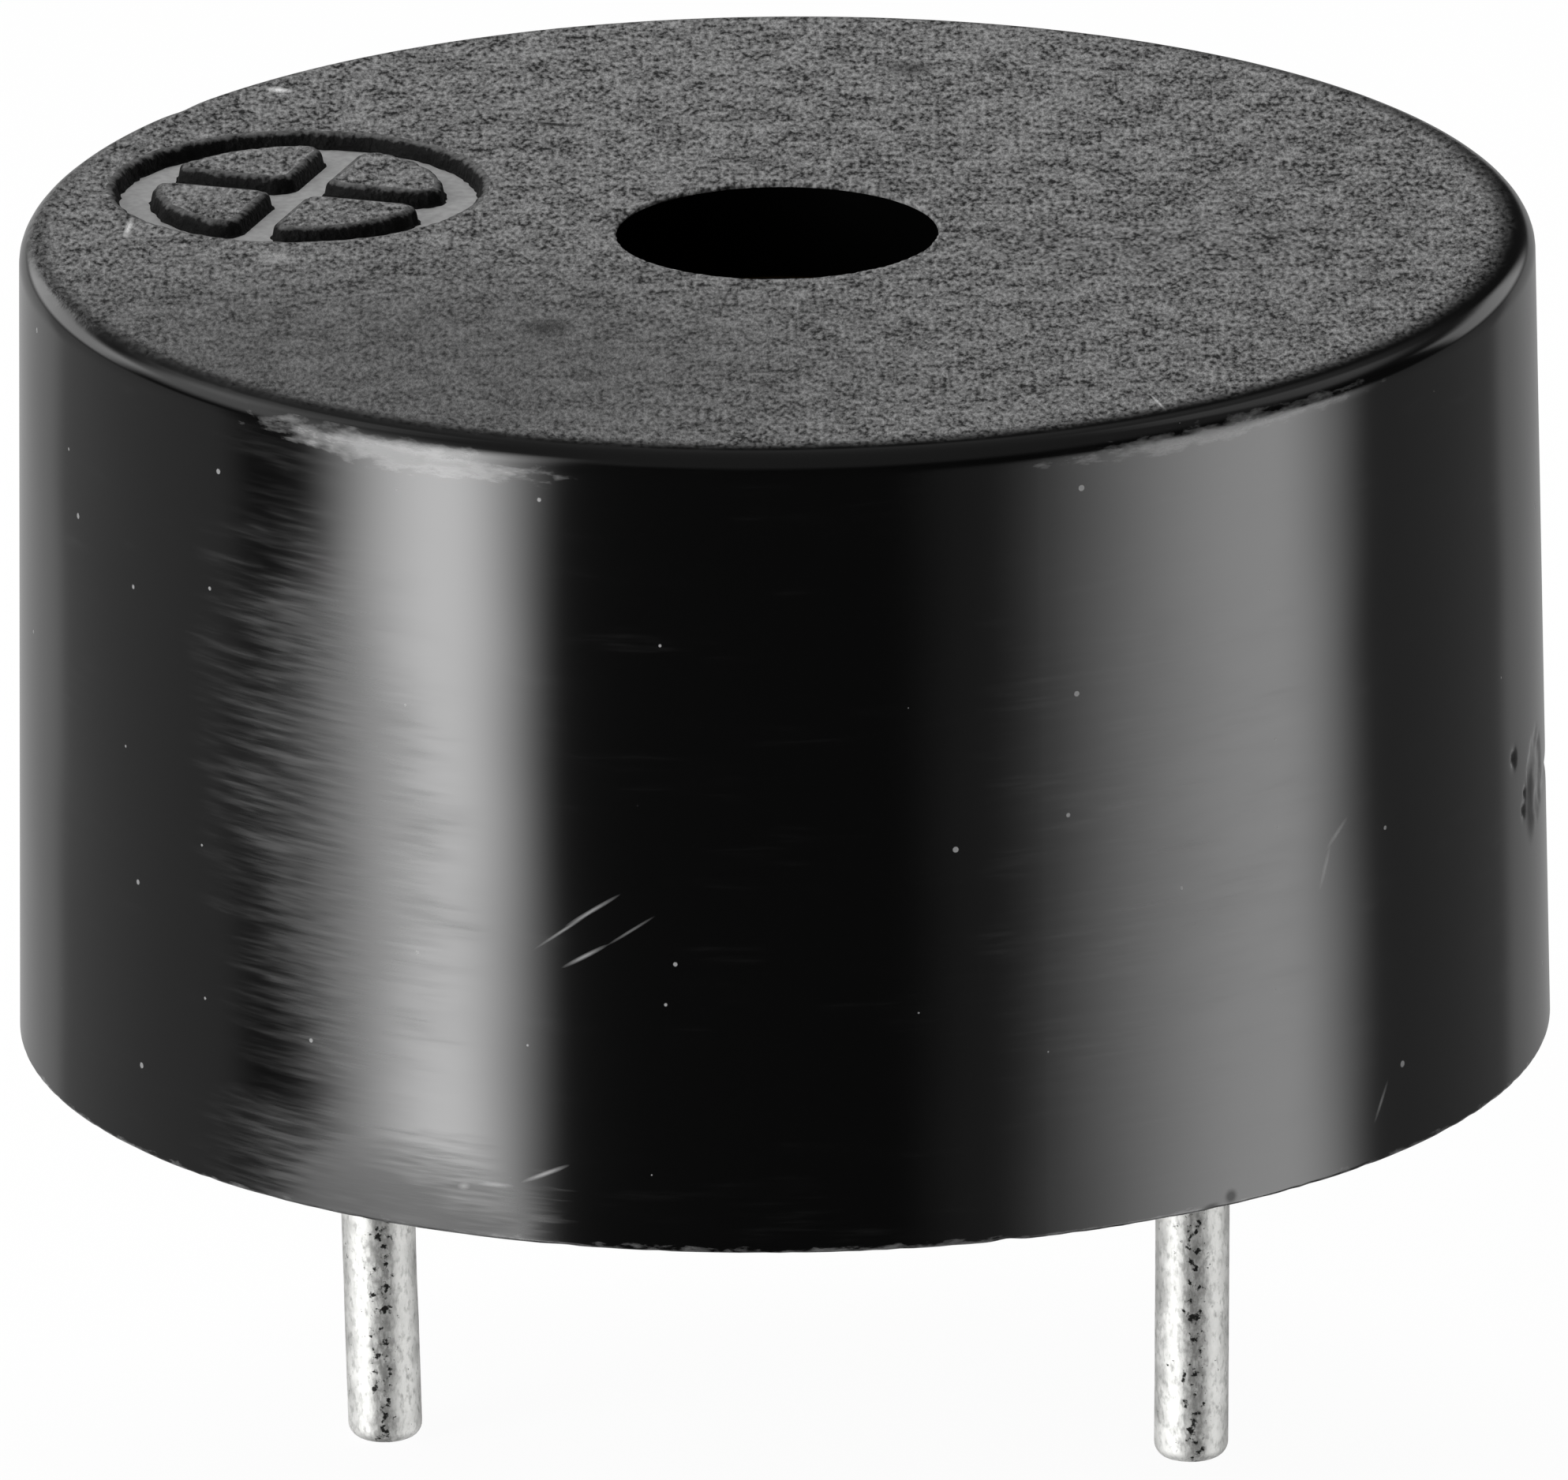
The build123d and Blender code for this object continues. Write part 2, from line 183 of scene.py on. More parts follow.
def wall_dent(bearing, z):
    """How far the wall lies inside its turned form, in mm: the gate's scar, knocks and a notch."""
    across = math.radians(bearing - gate_bearing) * rim_radius
    reach = math.hypot(across, z - gate_height)
    dent = 0
    if reach < 2 * gate_radius:
        torn = noise.fractal(Vector((across * torn_scale, z * torn_scale, 0)), 0.8, 2, 4)
        scar = min(max((gate_radius + torn_edge * torn - reach) / scar_slope, 0), 1)
        stub = min(max((gate_stub + torn_edge * torn - reach) / stub_slope, 0), 1)
        scar_form = scar * scar * (3 - 2 * scar)
        dent = scar_depth * scar_form - stub_rise * stub + torn_depth * scar * torn
    for at, height, width, depth in knocks:
        away = math.hypot(math.radians(bearing - at) * rim_radius, z - height)
        dent += depth * bell(away / width)
    notch = bell((bearing - notch_bearing) / notch_half_turn)
    dent += notch_depth * notch * bell((z - notch_height) / notch_half_height)
    return max(dent, 0)


# bearings of the wall's edges, closer together at the gate's scar and at the nick
fine_step, plain_step, gate_reach, nick_reach = 0.3, 1.0, 13, 3
bearings = [-180.0]
while bearings[-1] < 179:
    near_gate = abs(bearings[-1] - gate_bearing) < gate_reach
    near_nick = abs(bearings[-1] - nick_bearing) < nick_reach
    bearings.append(bearings[-1] + (fine_step if near_gate or near_nick else plain_step))

# an edge that the mould leaves sharp still has a rounding of 0.03 mm
sharp = 0.03
flat_radius = 6.45  # just outside the mark
case_line = rounded(
    (
        (flat_radius, case_height, 0),
        (top_radius, case_height, edge_radius),
        (rim_radius, 0, 0.035),
        (mouth_radius, 0, 0.05),
        (mouth_radius, board_top, sharp),
        (board_bore, board_top, sharp),
        (board_bore, disc_ledge, sharp),
        (chamber_radius, disc_ledge, sharp),
        (chamber_radius, chamber_top, 0.05),
        (hole_radius, chamber_top, sharp),
        (hole_radius, case_height, sharp),
        (hole_radius + 0.1, case_height, 0),
    )
)
wall_side = mouth_radius + 0.2  # only the outer wall lies beyond this radius
plain_row, fine_row, gate_band, lowest_row = 0.2, 0.045, 0.65, 0.3
wall_line = []
for here, ahead in zip(case_line, case_line[1:] + case_line[-1:]):
    wall_line.append(here)
    if here.x > wall_side and here.y - ahead.y > 1:
        z = here.y
        while z > lowest_row:
            z -= fine_row if abs(z - gate_height) < gate_band else plain_row
            wall_line.append(here.lerp(ahead, (here.y - z) / (here.y - ahead.y)))

shoulder, foot_height = 7.1, 0.1  # the plain wall ends at one, its torn foot at the other
foot_wave, nick_rise, nick_half_turn = 0.012, 0.02, 0.9
flat_depth, flat_half_turn, hole_wave = 0.03, 1.6, 0.016
case_mesh = bmesh.new()
case_rings = []
for r, z in wall_line:
    turned = []
    for bearing in bearings:
        out, up = r, z
        if r > wall_side and z < shoulder:
            out -= wall_dent(bearing, z)
        if r > wall_side and z < foot_height:
            # the lower edge is a little torn, with one nick in it
            torn = max(noise.noise(Vector((bearing * 0.9, 3.3, z * 9))), 0)
            up += foot_wave * torn + nick_rise * bell((bearing - nick_bearing) / nick_half_turn)
        if r < hole_radius + 0.05 and z > case_height - sharp + 0.0005:
            # the hole's edge wavers with the grains
            out += hole_wave * noise.noise(Vector((bearing * 0.45, 7.7, z * 20)))
        if r > wall_side and z > shoulder:
            # one flat spot on the upper edge, at the back
            out -= flat_depth * bell((bearing - flat_bearing) / flat_half_turn)
        angle = math.radians(bearing)
        turned.append((out * math.cos(angle), out * math.sin(angle), up))
    case_rings.append(ring(case_mesh, turned))
polished, eroded, satin, dull = 0, 1, 2, 3
edge_start, hole_start = 6, -11  # where the texture hands over, on the two rounded edges
skin(case_mesh, case_rings[: edge_start + 1], eroded)
skin(case_mesh, case_rings[edge_start:hole_start], polished)
skin(case_mesh, case_rings[hole_start - 1 :], eroded)

# the mark: its ring and cross are cut with a rounded tool, so every edge of it is soft
mark_floor = case_height - mark_depth
edge_line = rounded(
    (
        (-0.11, case_height, 0),
        (0, case_height, 0.08),
        (0.03, mark_floor, sharp),
        (0.08, mark_floor, 0),
    )
)
edge_middle = 2  # the grains end at this ring of the edge
pool_wear, island_wear = 0.03, 0.028


def on_mark(place):
    """Place on the top face of a point of the mark, which has its own bar as X axis."""
    return Matrix.Rotation(mark_turn, 2) @ Vector((place.x + mark_place, place.y))


def direction(turn):
    """Unit vector at an angle in radians."""
    return Vector((math.cos(turn), math.sin(turn)))


def cut(outline, wear):
    """Walls of one cut edge of the mark, from (place, inward direction) pairs."""
    rings = []
    for inward, z in edge_line:
        loop = []
        for place, towards in outline:
            wander = wear * noise.fractal(Vector((*place, 0)) * 9, 0.7, 2, 3)
            loop.append((*on_mark(place + towards * (inward + wander)), z))
        rings.append(ring(case_mesh, loop))
    skin(case_mesh, rings[: edge_middle + 1], eroded)
    skin(case_mesh, rings[edge_middle:-3], dull)
    skin(case_mesh, rings[-4:], satin)
    return rings


circle_steps, corner_steps, arc_of_island_steps = 160, 8, 24
circle = [direction(2 * math.pi * k / circle_steps) for k in range(circle_steps)]
pool = cut([(d * mark_radius, -d) for d in circle], pool_wear)

island_radius = mark_radius - mark_ring
corner = 0.17
near = mark_bar / 2 + corner
far = math.sqrt((island_radius - corner) ** 2 - near**2)
first, last = math.atan2(near, far), math.atan2(far, near)
quarter = []
for middle, start, end in (
    (Vector((near, near)), math.pi, 1.5 * math.pi),
    (Vector((far, near)), 1.5 * math.pi, 2 * math.pi + first),
    (Vector((0, 0)), first, last),
    (Vector((near, far)), last, math.pi),
):
    reach = corner if middle.length else island_radius
    steps = corner_steps if middle.length else arc_of_island_steps
    for k in range(steps):
        out = direction(start + (end - start) * (k + 0.5) / steps)
        quarter.append((middle + out * reach, out))
feet = []
for turns in range(4):
    spin = Matrix.Rotation(turns * math.pi / 2, 2)
    island = cut([(spin @ place, spin @ out) for place, out in quarter], island_wear)
    cap(case_mesh, [island[0]], eroded)
    feet.append(island[-1])
cap(case_mesh, [pool[-1], *feet], satin)
cap(case_mesh, [case_rings[0], case_rings[-1], pool[0]], eroded)

# ABS moulded against a polished cavity: nearly black, with long soft reflections. Where the case
# has rubbed in its tube they break up into level streaks, and its upper edge is chafed pale.
polished_abs, tree, place = surface("polished_black_abs")
split = put(tree, "SeparateXYZ", {0: place})
height = split.outputs[2]
from_axis = put(tree, "VectorMath", {0: place, 1: (1, 1, 0)}, operation="MULTIPLY")
from_axis = put(tree, "VectorMath", {0: from_axis}, operation="LENGTH")
outside = put(tree, "Math", {0: from_axis, 1: wall_side}, operation="GREATER_THAN")
unrolled = put(tree, "Math", {0: split.outputs[1], 1: split.outputs[0]}, operation="ARCTAN2")
unrolled = put(tree, "Math", {0: unrolled, 1: rim_radius}, operation="MULTIPLY")
unrolled = put(tree, "CombineXYZ", {0: unrolled, 1: height})


def wall_blot(bearing, z, turn, length, width):
    """Mask of one soft oval spot or scratch on the unrolled wall."""
    return blot(tree, unrolled, math.radians(bearing) * rim_radius, z, turn, length, width)


# level streaks 0.8 mm long and 0.06 mm high, in one patch down to the foot and a fainter one
streaks = put(tree, "VectorMath", {0: place, 1: (1 / 0.8, 1 / 0.8, 1 / 0.06)}, operation="MULTIPLY")
streaks = put(tree, "TexNoise", {"Vector": streaks, "Scale": 1.0, "Detail": 2.0, "Roughness": 0.6})
rubbed = wall_blot(-109.5, 3.6, 8, 1.8, 4.0)
rubbed_foot = wall_blot(-111, 0.1, 0, 1.7, 1.3)
faint = put(tree, "Math", {0: wall_blot(-42, 3.4, 0, 2.4, 4.6), 1: 0.45}, operation="MULTIPLY")
rubbed = put(tree, "Math", {0: rubbed, 1: rubbed_foot}, operation="MAXIMUM")
rubbed = put(tree, "Math", {0: rubbed, 1: faint}, operation="MAXIMUM")
clouds = put(tree, "VectorMath", {0: place, 1: (1 / 1.2, 1 / 1.2, 1 / 0.3)}, operation="MULTIPLY")
clouds = put(tree, "TexNoise", {"Vector": clouds, "Scale": 1.0, "Detail": 2.0})
rubbed = put(tree, "Math", {0: clouds, 1: 0.5, 2: rubbed}, operation="MULTIPLY_ADD")
rubbed = put(tree, "Math", {0: streaks, 1: 0.25, 2: rubbed}, operation="MULTIPLY_ADD")
rubbed = put(tree, "MapRange", {0: rubbed, 1: 0.4, 2: 1.05}, interpolation_type="SMOOTHSTEP")
broken = put(tree, "MapRange", {0: streaks, 1: 0.25, 2: 0.75, 3: 0.5, 4: 1.0})
rubbed = put(tree, "Math", {0: rubbed, 1: broken}, operation="MULTIPLY")
# dust, 0.05 mm across and about a millimetre apart
cells = put(tree, "TexVoronoi", {"Vector": unrolled, "Scale": 1 / 1.2}, voronoi_dimensions="2D")
amount = put(tree, "SeparateColor", {0: cells.outputs["Color"]}).outputs[0]
amount = put(tree, "MapRange", {0: amount, 1: 0.5, 2: 1.0, 3: 0.0, 4: 0.026})
dust = put(tree, "Math", {0: cells.outputs["Distance"], 1: amount}, operation="LESS_THAN")
dust = put(tree, "Math", {0: dust, 1: 0.7}, operation="MULTIPLY")
# the upper edge, chafed in two stretches, and the foot
chafe = put(tree, "VectorMath", {0: place, 1: (1 / 0.25, 1 / 0.25, 1 / 0.07)}, operation="MULTIPLY")
chafe = put(tree, "TexNoise", {"Vector": chafe, "Scale": 1.0, "Detail": 4.0, "Roughness": 0.6})
left_edge = wall_blot(-104, 7.19, -2, 2.1, 0.2)
right_edge = wall_blot(-38, 7.23, 1, 2.3, 0.13)
foot = put(tree, "MapRange", {0: height, 1: 0.08, 2: 0.0, 3: 0.0, 4: 0.55})
edge = put(tree, "Math", {0: left_edge, 1: right_edge}, operation="MAXIMUM")
edge = put(tree, "Math", {0: edge, 1: foot}, operation="MAXIMUM")
chafed = put(tree, "Math", {0: edge, 1: 0.6, 2: chafe}, operation="MULTIPLY_ADD")
chafed = put(tree, "MapRange", {0: chafed, 1: 0.66, 2: 1.1})
on_edge = put(tree, "MapRange", {0: edge, 1: 0.0, 2: 0.1})
chafed = put(tree, "Math", {0: chafed, 1: on_edge}, operation="MULTIPLY")
chafed = put(tree, "Math", {0: chafed, 1: 0.7}, operation="MULTIPLY")
pale = put(tree, "Math", {0: dust, 1: chafed}, operation="MAXIMUM")
# scratches: bearing, height, slope, half length, half width, strength
scratches = 0.0
for *spot, strength in (
    (-87.8, 3.15, 33, 0.32, 0.022, 0.8),
    (-88.4, 2.72, 30, 0.26, 0.024, 0.9),
    (-90.0, 2.95, 36, 0.36, 0.018, 0.7),
    (-84.9, 2.98, 34, 0.28, 0.016, 0.5),
    (-91.6, 0.66, 24, 0.26, 0.026, 1.0),
    (-95.5, 0.51, 2, 0.18, 0.026, 0.8),
    (-98.1, 0.46, 10, 0.07, 0.04, 0.8),
    (-27.3, 3.20, 40, 0.20, 0.030, 0.6),
    (-28.6, 2.92, 70, 0.22, 0.030, 0.6),
    (-22.8, 0.55, 60, 0.22, 0.024, 0.6),
    (60.0, 3.60, 35, 0.45, 0.018, 0.7),
    (118.0, 5.10, -25, 0.40, 0.020, 0.7),
):
    sockets = {0: wall_blot(*spot), 1: strength, 2: scratches}
    scratches = put(tree, "Math", sockets, operation="MULTIPLY_ADD")
scratches = put(tree, "Math", {0: scratches, 1: 0.8}, operation="MULTIPLY")
haze = put(tree, "MapRange", {0: streaks, 1: 0.4, 2: 0.7, 3: 0.0, 4: 0.09})
haze = put(tree, "Math", {0: rubbed, 1: haze}, operation="MULTIPLY")
pale = put(tree, "Math", {0: pale, 1: scratches}, operation="MAXIMUM")
pale = put(tree, "Math", {0: pale, 1: haze}, operation="MAXIMUM")
pale = put(tree, "Math", {0: pale, 1: outside}, operation="MULTIPLY")
# resin smeared on the lower edge beside the pins, and a dull patch beside the gate
smear = wall_blot(-38.3, 0.09, 0, 0.11, 0.11)
right_smear = wall_blot(-40.2, 0.02, 10, 0.16, 0.07)
dull_patch = wall_blot(4.6, 2.4, 0, 0.32, 0.5)
smear = put(tree, "Math", {0: smear, 1: right_smear}, operation="MAXIMUM")
smear = put(tree, "Math", {0: smear, 1: dull_patch}, operation="MAXIMUM")
smear = put(tree, "MapRange", {0: smear, 1: 0.0, 2: 0.7})
# how dull each of them leaves the polish
rubbed_gloss = put(tree, "MapRange", {0: rubbed, 1: 0.0, 2: 1.0, 3: 0.12, 4: 0.36})
foot_gloss = wall_blot(-105, 0.0, 0, 2.6, 1.4)
foot_gloss = put(tree, "Math", {0: streaks, 1: 0.6, 2: foot_gloss}, operation="MULTIPLY_ADD")
limits = {1: 0.3, 2: 1.15, 3: 0.0, 4: 0.5}
foot_gloss = put(tree, "MapRange", {0: foot_gloss, **limits}, interpolation_type="SMOOTHSTEP")
smear_gloss = put(tree, "Math", {0: smear, 1: 0.5}, operation="MULTIPLY")
pale_gloss = put(tree, "Math", {0: pale, 1: 0.6}, operation="MULTIPLY")
gloss = put(tree, "Math", {0: foot_gloss, 1: smear_gloss}, operation="MAXIMUM")
gloss = put(tree, "Math", {0: gloss, 1: outside}, operation="MULTIPLY")
gloss = put(tree, "Math", {0: gloss, 1: rubbed_gloss}, operation="MAXIMUM")
gloss = put(tree, "Math", {0: gloss, 1: pale_gloss}, operation="MAXIMUM")
swirl = put(tree, "TexNoise", {"Vector": place, "Scale": 1 / 2.5, "Detail": 1.0})
relief = put(tree, "Math", {0: streaks, 1: rubbed}, operation="MULTIPLY")
relief = put(tree, "Math", {0: relief, 1: 0.04, 2: swirl}, operation="MULTIPLY_ADD")
colour = put(tree, "Mix", {0: pale, 6: "#040404", 7: "#8c8c8c"}, data_type="RGBA")
shade(tree, {"Base Color": colour, "Roughness": gloss, "IOR": 1.54}, relief, 0.02)

# ABS moulded against a spark-eroded cavity: black, dull grains, painted grey for the sheen they
# catch, with painted shade in their hollows. The texture stops at a smooth dark band inside the
# rounded edge, a tenth of a millimetre off centre.
eroded_abs, tree, place = surface("spark_eroded_black_abs")
texture_centre, texture_radius = (-0.086, 0.079, case_height), 6.585
# grains 0.05 mm wide, drawn out to 0.1 mm towards the back
grain_lay = {1: (0, 0, 0), 2: (0, 0, math.radians(16.6)), 3: (0.05, 0.105, 0.07)}
grains = put(tree, "Mapping", {0: place, **grain_lay}, vector_type="TEXTURE")
grains = put(tree, "TexNoise", {"Vector": grains, "Scale": 1.0, "Detail": 2.0, "Roughness": 0.6})
patches = put(tree, "TexNoise", {"Vector": place, "Scale": 1 / 0.3, "Detail": 2.0})
coarse = put(tree, "Math", {0: grains, 1: 0.72}, operation="MULTIPLY")
coarse = put(tree, "Math", {0: patches, 1: 0.28, 2: coarse}, operation="MULTIPLY_ADD")
reach = put(tree, "VectorMath", {0: place, 1: texture_centre}, operation="DISTANCE")
reach = put(tree, "Math", {0: patches, 1: 0.12, 2: reach}, operation="MULTIPLY_ADD")
limits = {1: texture_radius - 0.12, 2: texture_radius + 0.2, 3: 1.0, 4: 0.0}
texture = put(tree, "MapRange", {0: reach, **limits}, interpolation_type="SMOOTHSTEP")
# its front left is painted darker, with weaker grains: painted shade, darker towards the front
smooth = blot(tree, place, -2.2, -4.9, 16.6, 5.2, 4.0)
smooth = put(tree, "Math", {0: patches, 1: 0.25, 2: smooth}, operation="MULTIPLY_ADD")
smooth = put(tree, "MapRange", {0: smooth, 1: 0.12, 2: 0.75})
# the grains' colour: painted shade in their hollows and painted sheen on their tops
lit_grain_share = put(tree, "MapRange", {0: coarse, 1: 0.38, 2: 0.64})
lit_grain_colour = put(tree, "Mix", {0: lit_grain_share, 6: "#0c0c0c", 7: "#8e8e8e"}, data_type="RGBA")
shaded_grain_share = put(tree, "MapRange", {0: coarse, 1: 0.34, 2: 0.68})
shaded_grain_colour = put(tree, "Mix", {0: shaded_grain_share, 6: "#222222", 7: "#767676"}, data_type="RGBA")
# the shaded copy of the grains at the front left: painted shade
colour = put(tree, "Mix", {0: smooth, 6: lit_grain_colour, 7: shaded_grain_colour}, data_type="RGBA")
# a chip, two fibres and a pale spot lie on the texture, and a scratch and two dark spots in it:
# place, turn, half length, half width, strength
marks = 0.0
for *spot, strength in (
    (-5.59, 3.02, -10, 0.14, 0.09, 1.0),
    (-5.67, -1.38, 100, 0.34, 0.035, 0.8),
    (4.75, -4.12, -58, 0.28, 0.02, 0.8),
    (-4.13, -1.95, 0, 0.25, 0.25, 0.25),
    (-2.88, 2.63, -7, 0.28, 0.06, -1.2),
    (-1.17, -3.32, 16.6, 0.34, 0.34, -0.7),
    (-0.24, 5.10, 16.6, 0.3, 0.3, -0.6),
):
    sockets = {0: blot(tree, place, *spot), 1: strength, 2: marks}
    marks = put(tree, "Math", sockets, operation="MULTIPLY_ADD")
pale_marks = put(tree, "MapRange", {0: marks, 1: 0.0, 2: 1.0})
dark_marks = put(tree, "MapRange", {0: marks, 1: 0.0, 2: -0.8})
colour = put(tree, "Mix", {0: pale_marks, 6: colour, 7: "#e0e0e0"}, data_type="RGBA")
colour = put(tree, "Mix", {0: dark_marks, 6: colour, 7: "#1c1c1c"}, data_type="RGBA")
colour = put(tree, "Mix", {0: texture, 6: "#040404", 7: colour}, data_type="RGBA")
gloss = put(tree, "MapRange", {0: texture, 1: 0.0, 2: 1.0, 3: 0.14, 4: 0.6})
relief = put(tree, "Math", {0: coarse, 1: texture}, operation="MULTIPLY")
shade(tree, {"Base Color": colour, "Roughness": gloss, "IOR": 1.54}, relief, 0.045)

# ABS moulded against the plain floor of the mark's cutter: an even satin, black in itself, painted
# pale grey, paler than the grains, as painted sheen.
satin_abs, tree, place = surface("satin_black_abs")
grit = put(tree, "TexNoise", {"Vector": place, "Scale": 1 / 0.08, "Detail": 3.0})
share = put(tree, "MapRange", {0: grit, 1: 0.3, 2: 0.7})
# pale grey on black ABS: painted sheen
colour = put(tree, "Mix", {0: share, 6: "#8c8c8c", 7: "#a0a0a0"}, data_type="RGBA")
shade(tree, {"Base Color": colour, "Roughness": 0.5, "IOR": 1.54}, grit, 0.004)

# ABS moulded against the mark's cut walls: dull and black, with grains creeping over the shoulder,
# painted grey there as painted sheen, like the top's.
dull_abs, tree, place = surface("dull_black_abs")
grit = put(tree, "TexNoise", {"Vector": place, "Scale": 1 / 0.06, "Detail": 3.0})
height = put(tree, "SeparateXYZ", {0: place}).outputs[2]
grains = put(tree, "Math", {0: grit, 1: 0.1, 2: height}, operation="MULTIPLY_ADD")
grains = put(tree, "MapRange", {0: grains, 1: case_height + 0.015, 2: case_height + 0.055})
share = put(tree, "MapRange", {0: grit, 1: 0.5, 2: 0.75})
colour = put(tree, "Mix", {0: share, 6: "#020202", 7: "#141414"}, data_type="RGBA")
# the grains on the shoulder: painted sheen
colour = put(tree, "Mix", {0: grains, 6: colour, 7: "#5e5e5e"}, data_type="RGBA")
sheen = {"Roughness": 0.75, "IOR": 1.54, "Specular IOR Level": 0.2}
shade(tree, {"Base Color": colour, **sheen}, grit, 0.03)

case = piece("moulded_case", case_mesh, (polished_abs, eroded_abs, satin_abs, dull_abs))
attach(case, "root")
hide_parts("case")

# Sounding disc
# A rolled brass disc carries a fired ceramic disc with silver on it, and a bead of white silicone
# rubber holds it to the case's step. They are the CAD's own pieces, with their real surfaces.


def dress(finish, *names):
    """Give CAD nodes their material."""
    for name in names:
        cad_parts[name].data.materials[0] = finish


# Brass, cold rolled: fine lines along X and a warm, half-dull shine.
rolled_brass, tree, place = surface("cold_rolled_brass")
# rolling lines 0.03 mm apart and 4 mm long
lines = put(tree, "VectorMath", {0: place, 1: (1 / 4, 1 / 0.03, 1)}, operation="MULTIPLY")
lines = put(tree, "TexNoise", {"Vector": lines, "Scale": 1.0, "Detail": 2.0})
tarnish = put(tree, "TexNoise", {"Vector": place, "Scale": 1 / 1.8, "Detail": 4.0})
colour = put(tree, "Mix", {0: tarnish, 6: "#c9a55a", 7: "#b08a42"}, data_type="RGBA")
gloss = put(tree, "MapRange", {0: lines, 1: 0.3, 2: 0.7, 3: 0.28, 4: 0.42})
shade(tree, {"Base Color": colour, "Metallic": 1.0, "Roughness": gloss}, lines, 0.002)
dress(rolled_brass, "brass_disc")

# Silicone rubber, cured from a bead: milky, with a soft shine and small ripples.
cured_silicone, tree, place = surface("cured_white_silicone")
ripple = put(tree, "TexNoise", {"Vector": place, "Scale": 1 / 0.35, "Detail": 3.0})
colour = put(tree, "Mix", {0: ripple, 6: "#d9d8d2", 7: "#e8e7e2"}, data_type="RGBA")
gloss = put(tree, "MapRange", {0: ripple, 1: 0.3, 2: 0.7, 3: 0.38, 4: 0.52})
shade(tree, {"Base Color": colour, "Roughness": gloss, "IOR": 1.41}, ripple, 0.02)
dress(cured_silicone, "disc_seal")

# Lead zirconate titanate, fired: a dry cream with a faint grain.
fired_ceramic, tree, place = surface("fired_piezo_ceramic")
grain = put(tree, "TexNoise", {"Vector": place, "Scale": 1 / 0.05, "Detail": 4.0})
colour = put(tree, "Mix", {0: grain, 6: "#c9bd9c", 7: "#d8cdb0"}, data_type="RGBA")
shade(tree, {"Base Color": colour, "Roughness": 0.7, "IOR": 1.6}, grain, 0.003)
dress(fired_ceramic, "ceramic_disc")

# Silver paste, screened and fired: pale, dull, with the screen's weave and a yellow tarnish.
fired_silver, tree, place = surface("screened_fired_silver")
# screen threads, drawn about 0.22 mm apart
weave_scale = 1 / 0.504
weave = {"Vector": place, "Scale": weave_scale, "Distortion": 0.6}
weave = put(tree, "TexWave", weave, bands_direction="DIAGONAL").outputs[1]
tarnish = put(tree, "TexNoise", {"Vector": place, "Scale": 1 / 1.2, "Detail": 4.0})
colour = put(tree, "Mix", {0: tarnish, 6: "#d5d3cb", 7: "#bdb59d"}, data_type="RGBA")
gloss = put(tree, "MapRange", {0: weave, 1: 0.0, 2: 1.0, 3: 0.45, 4: 0.6})
shade(tree, {"Base Color": colour, "Metallic": 1.0, "Roughness": gloss}, weave, 0.003)
dress(fired_silver, "drive_electrode", "feedback_electrode")

# Circuit board
# A round glass-epoxy board under green mask, pressed against the case's lower step, with etched
# copper on its upper face. The pins stand in its two holes.

# Glass epoxy under solder mask: green gloss over the faint squares of the glass cloth.
masked_laminate, tree, place = surface("masked_glass_epoxy")
# glass bundles, drawn about 0.8 mm apart
cloth_scale = 1 / 2.52
threads = {"Vector": place, "Scale": cloth_scale, "Distortion": 0.8}
warp = put(tree, "TexWave", threads, bands_direction="X").outputs[1]
weft = put(tree, "TexWave", threads, bands_direction="Y").outputs[1]
cloth = put(tree, "Math", {0: warp, 1: weft}, operation="MULTIPLY")
colour = put(tree, "Mix", {0: cloth, 6: "#14502c", 7: "#1c6a3a"}, data_type="RGBA")
shade(tree, {"Base Color": colour, "Roughness": 0.32, "IOR": 1.55}, cloth, 0.006)
dress(masked_laminate, "circuit_board")

# Copper, etched and fluxed: pink-brown with darker fingers of oxide.
etched_copper, tree, place = surface("etched_copper_foil")
oxide = put(tree, "TexNoise", {"Vector": place, "Scale": 1 / 0.6, "Detail": 5.0})
colour = put(tree, "Mix", {0: oxide, 6: "#c77a52", 7: "#8a4e34"}, data_type="RGBA")
gloss = put(tree, "MapRange", {0: oxide, 1: 0.3, 2: 0.7, 3: 0.3, 4: 0.5})
shade(tree, {"Base Color": colour, "Metallic": 1.0, "Roughness": gloss}, oxide, 0.004)
dress(etched_copper, "copper_tracks")

# Transistor and resistors
# A moulded three-lead transistor and three chip resistors sit on the copper, reflowed with tin
# solder that also fills the pins' holes and holds the lead wires.

# Epoxy moulding compound: flat black with fine silica grit.
moulded_epoxy, tree, place = surface("moulded_black_epoxy")
grit = put(tree, "TexNoise", {"Vector": place, "Scale": 1 / 0.04, "Detail": 4.0})
colour = put(tree, "Mix", {0: grit, 6: "#1a1a1b", 7: "#282829"}, data_type="RGBA")
shade(tree, {"Base Color": colour, "Roughness": 0.62, "IOR": 1.54}, grit, 0.004)
dress(moulded_epoxy, "transistor_body")

# Alumina chip under a glaze: black glass with a low ripple.
glazed_alumina, tree, place = surface("glazed_alumina_chip")
ripple = put(tree, "TexNoise", {"Vector": place, "Scale": 1 / 0.3, "Detail": 2.0})
colour = put(tree, "Mix", {0: ripple, 6: "#17181b", 7: "#222428"}, data_type="RGBA")
shade(tree, {"Base Color": colour, "Roughness": 0.25, "IOR": 1.52}, ripple, 0.006)
dress(glazed_alumina, "load_resistor", "bias_resistor", "feedback_resistor")

